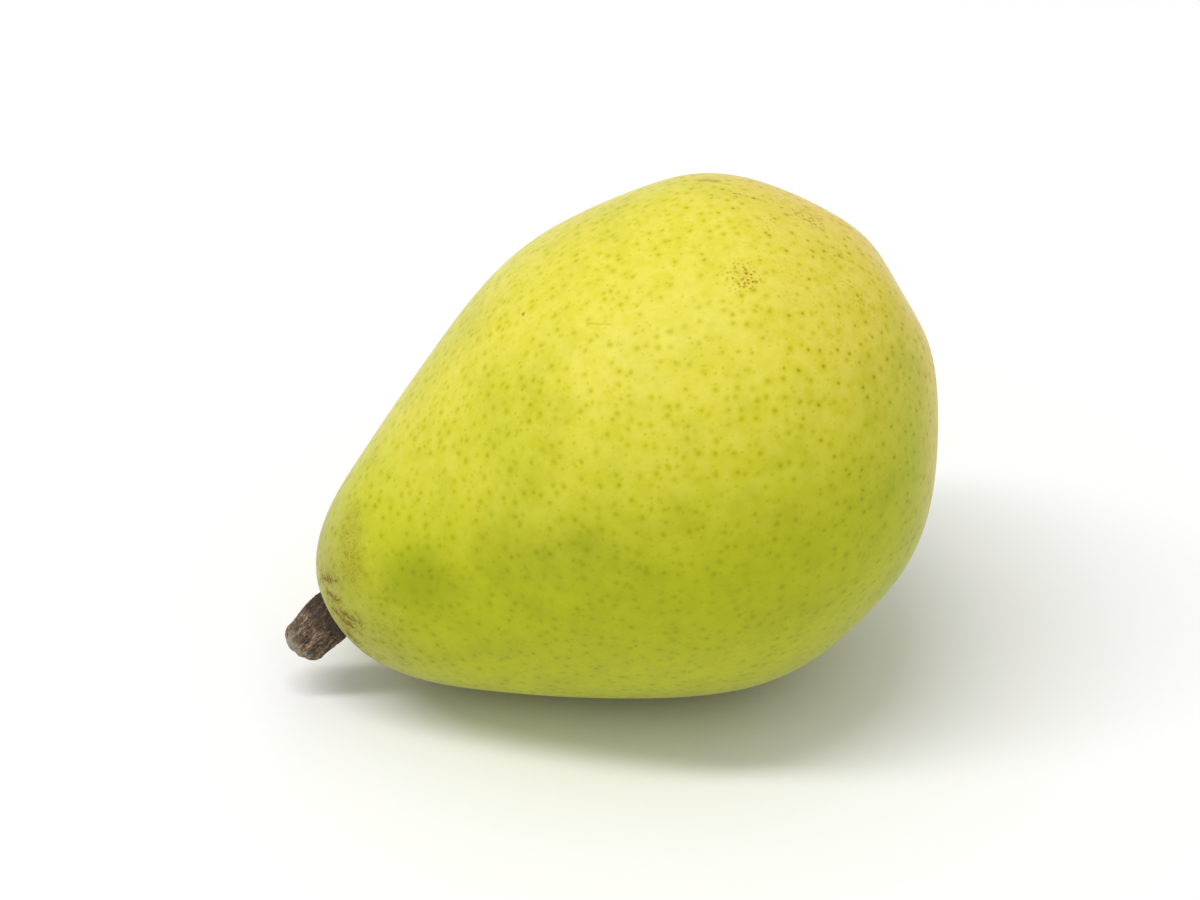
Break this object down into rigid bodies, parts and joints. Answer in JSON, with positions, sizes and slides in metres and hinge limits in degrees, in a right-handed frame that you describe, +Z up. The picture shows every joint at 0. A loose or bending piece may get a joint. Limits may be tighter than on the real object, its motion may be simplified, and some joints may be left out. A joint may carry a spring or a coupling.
{
  "type": "pear",
  "caption": "Whole fresh green-yellow pear lying on its side on a small flat spot, with a short thick woody stem and a dried calyx in its eye basin.",
  "frame": {"origin": "on the resting plane, under the middle of the pear's bounding box", "axes": "+X from the stem end towards the eye end, along the ground; +Z up; the core slopes up from the stem in the X-Z plane"},
  "size_m": [0.089, 0.068, 0.0701],
  "materials": {
    "skin": "satin waxy skin, yellow-green with small green dots",
    "bark": "matt cracked grey-brown bark",
    "dried_flower": "matt dry brown"
  },
  "bodies": {
    "root": {"fruit": "skin", "stem": "bark", "calyx": "dried_flower"}
  },
  "joints": []
}
